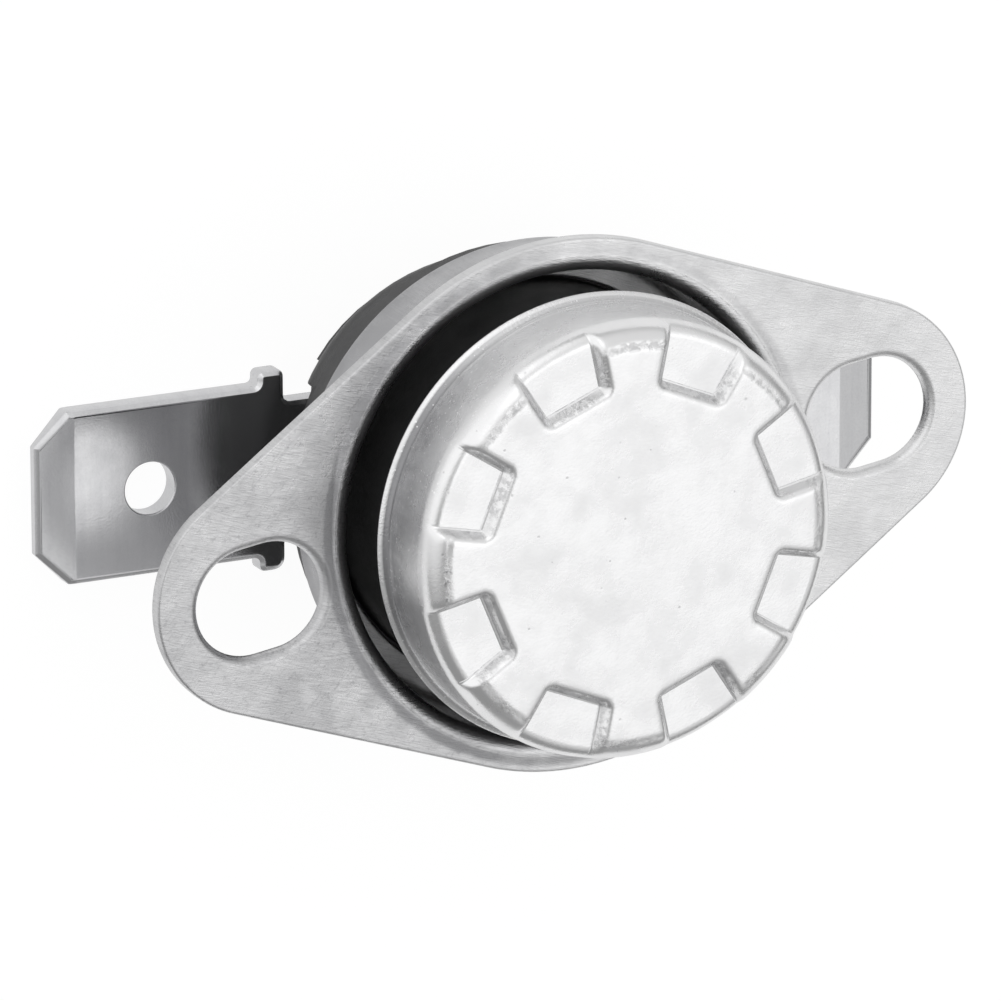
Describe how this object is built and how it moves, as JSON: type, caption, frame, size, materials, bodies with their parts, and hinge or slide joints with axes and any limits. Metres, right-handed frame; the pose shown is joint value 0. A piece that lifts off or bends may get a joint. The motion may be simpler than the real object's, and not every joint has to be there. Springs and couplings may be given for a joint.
{
  "type": "bimetal thermostat",
  "caption": "Snap-action bimetal thermostat: pressed cap on a black moulded base, loose slotted two-ear bracket that turns round it, and flat push-on blade terminals.",
  "frame": {"origin": "on the body's axis, at the lowest face of the moulded base", "axes": "+X along the line of the bracket's two slots towards the right ear, +Z along the body's axis towards the sensing cap's face, +Y completes a right-handed frame; the body is turned 8.8 degrees clockwise in the bracket, seen from the cap"},
  "size_m": [0.0332, 0.0192, 0.0151],
  "materials": {
    "pressed_aluminium": "pressed and tumbled, satin",
    "black_moulding": "moulded, matt",
    "brushed_steel": "pressed sheet, fine brushed",
    "tinned_blade": "tin plated, smooth",
    "rivet_metal": "plated, upset by a tool",
    "spring_bronze": "rolled strip",
    "contact_silver": "bright, domed",
    "brown_phenolic": "moulded, matt",
    "bimetal": "rolled strip, dished",
    "white_ceramic": "fired, unglazed"
  },
  "bodies": {
    "body": {"base": "black_moulding", "sensing_cap": "pressed_aluminium", "terminal_right": "tinned_blade", "terminal_left": "tinned_blade", "rivet_right": "rivet_metal", "rivet_left": "rivet_metal", "fixed_strip": "spring_bronze", "fixed_contact": "contact_silver", "contact_arm": "spring_bronze", "disc_guide": "brown_phenolic", "bimetal_disc": "bimetal"},
    "bracket": {"mounting_bracket": "brushed_steel"},
    "plunger": {"push_pin": "white_ceramic", "moving_contact": "contact_silver"}
  },
  "joints": [
    {"name": "bracket_swivel", "type": "hinge", "parent": "body", "child": "bracket", "pos_m": [0, 0, 0.0099], "axis": [0, 0, 1], "continuous": true},
    {"name": "pin_slide", "type": "slide", "parent": "body", "child": "plunger", "axis": [0, 0, -1], "range_m": [0, 0.00035], "stiffness_N_per_m": 200, "deforming": ["bimetal_disc", "contact_arm"]}
  ]
}
